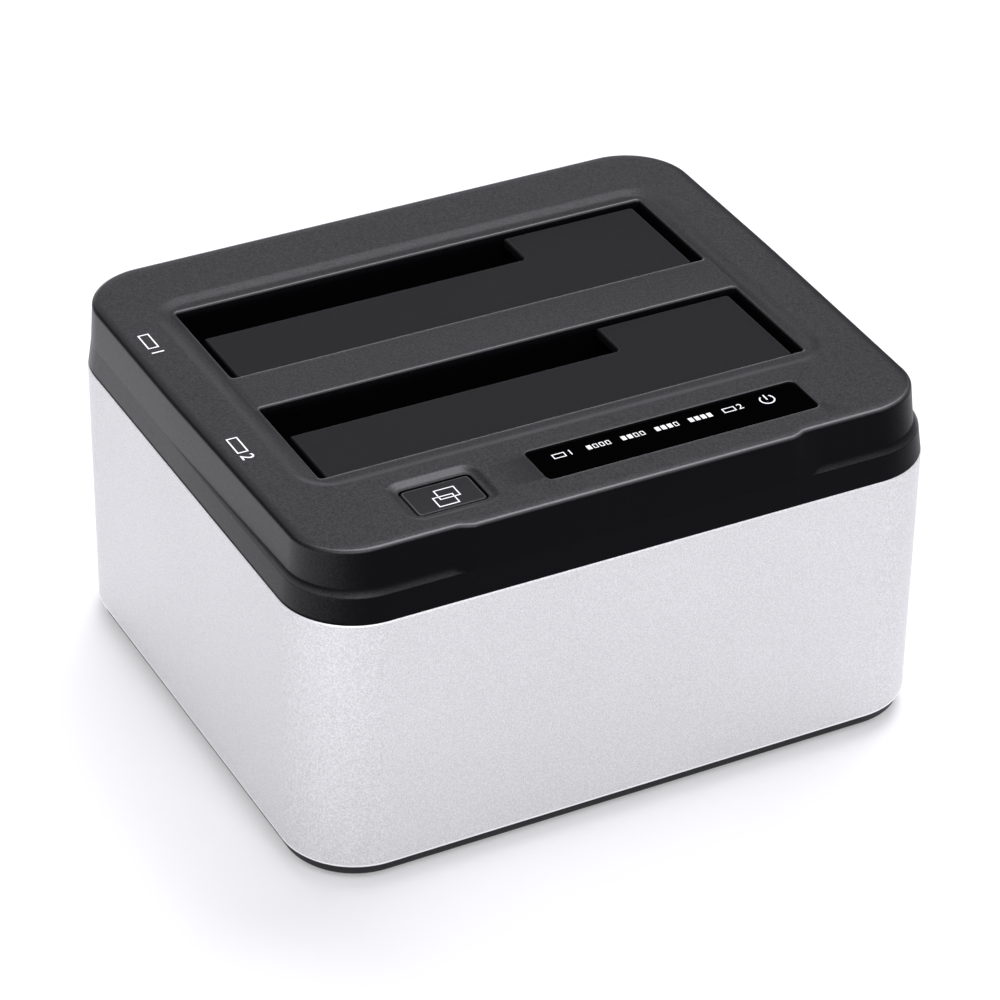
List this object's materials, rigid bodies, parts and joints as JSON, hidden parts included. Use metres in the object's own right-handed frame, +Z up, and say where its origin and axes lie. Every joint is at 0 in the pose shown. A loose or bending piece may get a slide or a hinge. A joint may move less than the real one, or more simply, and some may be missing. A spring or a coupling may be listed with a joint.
{
  "type": "hard drive docking station",
  "caption": "Desktop docking station for bare hard drives: aluminium sleeve, black top with two sprung slot doors, clone button, status window and rear ports.",
  "frame": {"origin": "centre of the footprint, on the surface the station stands on", "axes": "+X along the long front to the right, +Y towards the back, +Z up; the front faces -Y"},
  "size_m": [0.134, 0.116, 0.0726],
  "materials": {
    "sleeve": "fine bead-blasted and clear anodised",
    "cover": "fine spark-textured ABS",
    "base": "fine textured ABS",
    "foot": "matt rubber",
    "steel": "zinc plated",
    "spring": "music wire",
    "frame": "moulded ABS",
    "window": "polished acrylic, dark tint",
    "guide": "white polycarbonate",
    "lamp": "clear resin",
    "board": "green solder mask",
    "chip": "moulded epoxy",
    "coil": "ferrite",
    "can": "drawn can",
    "rear_panel": "fine textured ABS",
    "inlet": "moulded nylon",
    "contact": "gold flash",
    "port_shell": "nickel plated",
    "port_tongue": "blue moulding",
    "socket": "moulded LCP",
    "door": "fine textured ABS",
    "button": "fine textured ABS",
    "switch": "moulded nylon",
    "lead": "flat flexible lead",
    "plug": "moulded nylon"
  },
  "bodies": {
    "case": {"body_sleeve": "sleeve", "base_plate": "base", "rubber_feet": "foot", "case_screws": "steel", "top_cover": "cover", "bay_frame": "frame", "frame_screws": "steel", "display_window": "window", "light_guide": "guide", "status_lamps": "lamp", "panel_board": "board", "panel_screws": "steel", "clone_switch": "switch", "main_board": "board", "board_screws": "steel", "bridge_chips": "chip", "board_coils": "coil", "board_capacitors": "can", "rear_panel": "rear_panel", "power_inlet": "inlet", "power_inlet_pin": "contact", "usb_port": "port_shell", "usb_tongue": "port_tongue", "power_switch": "switch", "signal_lead": "lead", "lead_plugs": "plug", "door_pin_1": "steel", "door_pin_2": "steel", "door_spring_1": "spring", "door_spring_2": "spring", "drive_socket_1": "socket", "drive_socket_2": "socket", "drive_contacts_1": "contact", "drive_contacts_2": "contact"},
    "door_1": {"door_1": "door"},
    "door_2": {"door_2": "door"},
    "clone_button": {"clone_button": "button", "clone_plunger": "switch"},
    "power_button": {"power_button": "button", "power_plunger": "switch"}
  },
  "joints": [
    {"name": "door_1_hinge", "type": "hinge", "parent": "case", "child": "door_1", "pos_m": [0, 0.0071, 0.0679], "axis": [-1, 0, 0], "range_deg": [0, 90], "stiffness_Nm_per_rad": 0.0015, "springref_deg": -68.75, "deforming": ["door_spring_1"]},
    {"name": "door_2_hinge", "type": "hinge", "parent": "case", "child": "door_2", "pos_m": [0, -0.032, 0.0679], "axis": [-1, 0, 0], "range_deg": [0, 90], "stiffness_Nm_per_rad": 0.0015, "springref_deg": -68.75, "deforming": ["door_spring_2"]},
    {"name": "clone_button_slide", "type": "slide", "parent": "case", "child": "clone_button", "axis": [0, 0, -1], "range_m": [0, 0.0008], "stiffness_N_per_m": 600, "springref_m": -0.0005},
    {"name": "power_button_slide", "type": "slide", "parent": "case", "child": "power_button", "axis": [0, -1, 0], "range_m": [0, 0.0015], "stiffness_N_per_m": 400, "springref_m": -0.0006}
  ]
}
